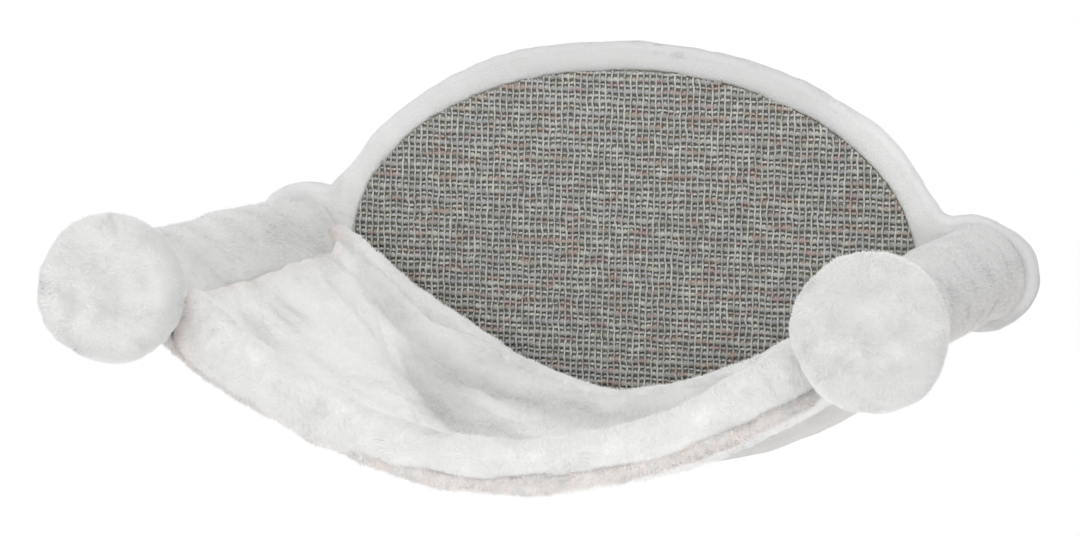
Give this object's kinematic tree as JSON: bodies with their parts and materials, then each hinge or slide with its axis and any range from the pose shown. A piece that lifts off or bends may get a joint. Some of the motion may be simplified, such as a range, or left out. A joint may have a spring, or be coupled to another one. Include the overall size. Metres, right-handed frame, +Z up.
{
  "type": "wall-mounted cat hammock",
  "caption": "Padded plush cat hammock slung between two covered posts on an oval sisal-faced wall board, with round end discs that unscrew.",
  "frame": {"origin": "in the wall plane, midway between the two keyhole hangers and level with the posts", "axes": "+Y into the wall, +X to the right as seen from the room, +Z up"},
  "size_m": [0.555, 0.33, 0.28],
  "materials": {
    "plush": "short off-white pile",
    "wadding": "loose white polyester",
    "sisal": "coarse grey weave",
    "board_wood": "raw fibreboard",
    "plug_wood": "turned, raw",
    "tube_paper": "spiral wound",
    "zinc_steel": "zinc plated"
  },
  "bodies": {
    "wall_body": {"back_board": "board_wood", "board_cover": "plush", "sisal_mat": "sisal", "cover_staples": "zinc_steel", "hanger_screws": "zinc_steel", "hammock_top_panel": "plush", "hammock_padding": "wadding", "hammock_under_panel": "plush", "hammock_rear_band": "plush", "hammock_front_band": "plush", "left_hanger_plate": "zinc_steel", "left_post_tube": "tube_paper", "left_rear_plug": "plug_wood", "left_front_plug": "plug_wood", "left_rear_insert": "zinc_steel", "left_front_insert": "zinc_steel", "left_post_bolt": "zinc_steel", "left_post_washer": "zinc_steel", "left_post_sleeve": "plush", "right_hanger_plate": "zinc_steel", "right_post_tube": "tube_paper", "right_rear_plug": "plug_wood", "right_front_plug": "plug_wood", "right_rear_insert": "zinc_steel", "right_front_insert": "zinc_steel", "right_post_bolt": "zinc_steel", "right_post_washer": "zinc_steel", "right_post_sleeve": "plush"},
    "left_stud": {"left_disc_stud": "zinc_steel"},
    "left_disc": {"left_disc_core": "plug_wood", "left_disc_cover": "plush"},
    "right_stud": {"right_disc_stud": "zinc_steel"},
    "right_disc": {"right_disc_core": "plug_wood", "right_disc_cover": "plush"}
  },
  "joints": [
    {"name": "left_disc_unscrew", "type": "hinge", "parent": "left_stud", "child": "left_disc", "pos_m": [-0.2325, -0.3, 0], "axis": [0, -1, 0], "range_deg": [0, 4320]},
    {"name": "left_stud_travel", "type": "slide", "parent": "wall_body", "child": "left_stud", "axis": [0, -1, 0], "range_m": [0, 0.016]},
    {"name": "right_disc_unscrew", "type": "hinge", "parent": "right_stud", "child": "right_disc", "pos_m": [0.2325, -0.3, 0], "axis": [0, -1, 0], "range_deg": [0, 4320]},
    {"name": "right_stud_travel", "type": "slide", "parent": "wall_body", "child": "right_stud", "axis": [0, -1, 0], "range_m": [0, 0.016]}
  ],
  "couplings": [
    {"joint": "left_stud_travel", "follows": "left_disc_unscrew", "m_per_rad": 0.00019894},
    {"joint": "right_stud_travel", "follows": "right_disc_unscrew", "m_per_rad": 0.00019894}
  ]
}
